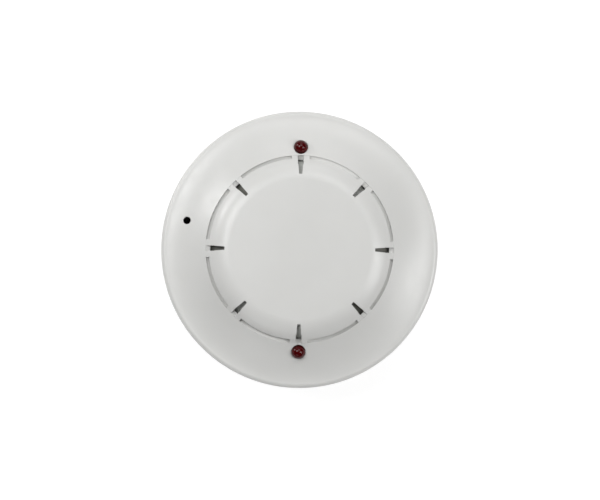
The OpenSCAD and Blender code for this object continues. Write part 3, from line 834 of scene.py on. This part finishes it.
def make_board_detail():
    """The tracks, pads, solder, vias and printed outlines on the board."""
    parts = pad_places()
    pins = [((low + high) / 2).to_2d().to_tuple() for low, high in islands("board_pins")]
    routes, vias = track_routes(parts, pins)
    tracks = bmesh.new()
    for path in routes:
        ribbon_into(tracks, path, TRACK_W, BOARD_TOP, BOARD_TOP + TRACK_T)
    tracks_obj = new_object("board_tracks", tracks)
    dress(tracks_obj, "board_green", "board_track")
    pads = bmesh.new()
    for part in parts:
        for x, y, half_x, half_y in part:
            low, high = (x - half_x, y - half_y, BOARD_TOP), (x + half_x, y + half_y, BOARD_TOP + PAD_T)
            block_into(pads, low, high)
    solder = [(0.3, 0.75), (0.5, 0.3), (1.0, 0.06), (1.0, 0), (0.3, 0)]
    for x, y in pins:
        lathe_at(pads, solder, Matrix.Translation((x, y, BOARD_TOP)))
    for x, y in vias:
        washer_into(pads, x, y, 0.15, 0.42, 0.05, 20)
    for low, high in islands("board_screws"):
        x, y = ((low + high) / 2).to_2d()
        washer_into(pads, x, y, 1.6, 3.2, 0.05, 48)
    pads_obj = new_object("board_pads", pads)
    dress(pads_obj, "tinned_wire")
    ink = bmesh.new()
    for low, high in islands("electrolytic_capacitors"):
        x, y = ((low + high) / 2).to_2d()
        r = (high.x - low.x) / 2 + 0.5
        washer_into(ink, x, y, r, r + 0.2, 0.02, 48)
    for node in CHIP_LEGS:
        low, high = (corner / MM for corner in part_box(node))
        x0, y0, x1, y1 = (*low.to_2d(), *high.to_2d())
        x0, y0, x1, y1 = x0 - PRINT_MARGIN, y0 - PRINT_MARGIN, x1 + PRINT_MARGIN, y1 + PRINT_MARGIN
        corners = [(x0, y0), (x1, y0), (x1, y1), (x0, y1), (x0, y0)]
        for a, b in zip(corners, corners[1:]):
            ribbon_into(ink, [a, b], PRINT_W, BOARD_TOP, BOARD_TOP + PRINT_T)
    ink_obj = new_object("board_print", ink)
    dress(ink_obj, "label_foil")
    for obj in (tracks_obj, pads_obj, ink_obj):
        smooth(obj)
        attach(obj, "head")


def make_part_marks():
    """Polarity bands on the diodes and capacitors, and the capacitors' aluminium tops."""
    bands = bmesh.new()
    for low, high in islands("diodes"):
        mid = (low + high) / 2
        r = (high.x - low.x) / 2
        lying = Matrix.Rotation(math.pi / 2, 4, "X")
        spot = Matrix.Translation((mid.x, mid.y + 1.2, high.z - r)) @ lying
        r0, r1 = r - 0.1, r + MARK_PROUD
        lathe_at(bands, [(r0, 0), (r1, 0), (r1, 0.5), (r0, 0.5)], spot)
    lids = bmesh.new()
    for low, high in islands("electrolytic_capacitors"):
        mid = (low + high) / 2
        r = (high.x - low.x) / 2
        r0, r1, z0, z1 = r - 0.1, r + MARK_PROUD, low.z + 1.4, high.z - 0.7
        stripe = [(r0, z0), (r1, z0), (r1, z1), (r0, z1)]
        lathe_at(bands, stripe, Matrix.Translation((mid.x, mid.y, 0)), 60, 150, 50)
        top = high.z + MARK_PROUD
        lid = [(0, top), (r * 0.7, top), (r * 0.76, top - 0.1), (0, top - 0.1)]
        lathe_at(lids, lid, Matrix.Translation((mid.x, mid.y, 0)), 48)
    marks = (("polarity_marks", bands, "label_foil"), ("capacitor_tops", lids, "tinned_wire"))
    for name, bm, slot in marks:
        obj = new_object(name, bm)
        smooth(obj)
        dress(obj, slot)
        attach(obj, "head")


make_outer_cover()
make_centre_cap()
make_lamp("led_upper", 90)
make_lamp("led_lower", 270)
make_lock_spring()
make_board_detail()
make_part_marks()

# Everything else keeps its CAD shape and gets rounded edges, and the thin wires stay as they are


def soften(node, width):
    """Replaces a CAD node with a copy whose sharp edges are rounded."""
    obj = bpy.data.objects.new(node + "_rounded", frame["nodes"][node].data.copy())
    bpy.context.scene.collection.objects.link(obj)
    bm = bmesh.new()
    bm.from_mesh(obj.data)
    bmesh.ops.remove_doubles(bm, verts=bm.verts, dist=1e-7)
    bmesh.ops.dissolve_limit(bm, angle_limit=math.radians(0.8), verts=bm.verts, edges=bm.edges)
    bm.to_mesh(obj.data)
    bm.free()
    bevel = obj.modifiers.new("edges", "BEVEL")
    bevel.width = width * MM
    bevel.segments = 2
    bevel.limit_method = "ANGLE"
    bevel.angle_limit = math.radians(35)
    bevel.use_clamp_overlap = True
    apply_modifiers(obj)
    fit(obj, node)


# Widths of the rounded edges, in millimetres

EDGES = {
    "base_plate": 0.3,
    "chassis": 0.25,
    "sensor_bulkhead": 0.2,
    "circuit_board": 0.08,
    "lock_lever": 0.2,
    "lock_pin": 0.15,
    "seal_ring": 0.2,
    "rating_label": 0.03,
    "slot_baffle": 0.15,
    "light_shields": 0.15,
    "thermistor_holder": 0.2,
    "led_holders": 0.2,
    "board_screws": 0.12,
    "chassis_screws": 0.15,
}
SMALL_EDGE = 0.07
DRAWN_ABOVE = {"outer_cover", "centre_cap", "led_upper", "led_lower", "lock_spring"}

for node in frame["nodes"]:
    if node not in DRAWN_ABOVE and SLOT_OF[node] != "tinned_wire":
        soften(node, EDGES.get(node, SMALL_EDGE))
for node, obj in frame["nodes"].items():
    obj.data.materials.clear()
    obj.data.materials.append(MATERIALS[SLOT_OF[node]])


# Stage: floor, lights and camera


FLOOR_HALF = 1.6
FLOOR_GAP = 0.0002
FLOOR_GLOW = 0.8
WORLD_STRENGTH = 0.04

# The camera: the part of the picture's width that the cover fills, the shift of the picture's middle
# from the detector's axis, how far the camera stands off the axis, and its roll

COVER_SHARE = 0.461
TARGET_X, TARGET_Y = 0.00019, -0.0001
OFF_X, OFF_Y = -0.01, -0.022
ROLL = math.radians(0.7)


def make_floor():
    """Pale paper that glows a little, so it stays white around the detector."""
    mesh = bpy.data.meshes.new("floor")
    corners = [(x * FLOOR_HALF, y * FLOOR_HALF, 0) for x, y in ((-1, -1), (1, -1), (1, 1), (-1, 1))]
    mesh.from_pydata(corners, [], [(0, 1, 2, 3)])
    floor = bpy.data.objects.new("floor", mesh)
    bpy.context.scene.collection.objects.link(floor)
    floor.location.z = -FLOOR_GAP
    m = Nodes("floor_paper")
    m.link(m.tint(m.noise(6, 2), (0.30, 0.30, 0.30), (0.32, 0.32, 0.32)), m.shader.inputs["Base Color"])
    m.link(m.ramp(m.noise(90, 2), 0.85, 0.95), m.shader.inputs["Roughness"])
    m.set(Emission_Color=(1, 1, 1, 1), Emission_Strength=FLOOR_GLOW)
    mesh.materials.append(m.material)


def make_light(name, azimuth, elevation, size, power):
    """A soft box one metre from the face, at an angle round from +X and above the floor."""
    data = bpy.data.lights.new(name, "AREA")
    data.shape = "ELLIPSE"
    data.size, data.size_y = size
    data.energy = power
    turn, rise = math.radians(azimuth), math.radians(elevation)
    flat = math.cos(rise)
    towards = Vector((flat * math.cos(turn), flat * math.sin(turn), math.sin(rise)))
    lamp = bpy.data.objects.new(name, data)
    lamp.location = Vector((0, 0, 0.03)) + towards
    lamp.rotation_mode = "QUATERNION"
    lamp.rotation_quaternion = towards.to_track_quat("Z", "Y")
    bpy.context.scene.collection.objects.link(lamp)


def make_world():
    """A faint, even light from everywhere."""
    world = bpy.data.worlds.new("studio")
    world.use_nodes = True
    background = world.node_tree.nodes["Background"]
    background.inputs["Color"].default_value = (1.0, 1.0, 1.0, 1)
    background.inputs["Strength"].default_value = WORLD_STRENGTH
    bpy.context.scene.world = world


def make_camera():
    """A long lens over the face, almost square on."""
    data = bpy.data.cameras.new("camera")
    data.lens = 180
    data.sensor_width = 36
    data.clip_start, data.clip_end = 0.01, 20
    camera = bpy.data.objects.new("camera", data)
    rim_plane = (LIP_Z - LIP_ROUND) * MM
    distance = 2 * COVER_R * MM * data.lens / (data.sensor_width * COVER_SHARE)
    target = Vector((TARGET_X, TARGET_Y, rim_plane))
    aim = Vector((OFF_X, OFF_Y, distance)).normalized()
    camera.location = target + aim * distance
    facing = Vector((0, 0, 1)).rotation_difference(aim).to_matrix()
    camera.rotation_euler = (facing @ Matrix.Rotation(ROLL, 3, "Z")).to_euler()
    bpy.context.scene.collection.objects.link(camera)
    bpy.context.scene.camera = camera


make_floor()
make_world()
make_light("key_left", 152, 62, (0.4, 0.5), 3.95)
make_light("key_right", -8, 54, (0.35, 0.45), 2.7)
make_light("soft_top", 88, 25, (0.8, 0.45), 1.15)
make_light("high_top", 75, 57, (0.6, 0.45), 2.28)
make_light("low_left", 150, 20, (0.4, 0.3), 3.0)
make_light("mid_right", -15, 35, (0.4, 0.4), 2.15)
make_light("fill_front", 250, 28, (0.6, 0.4), 0.8)
make_camera()

scene = bpy.context.scene
scene.view_settings.view_transform = "Standard"
scene.view_settings.look = "None"
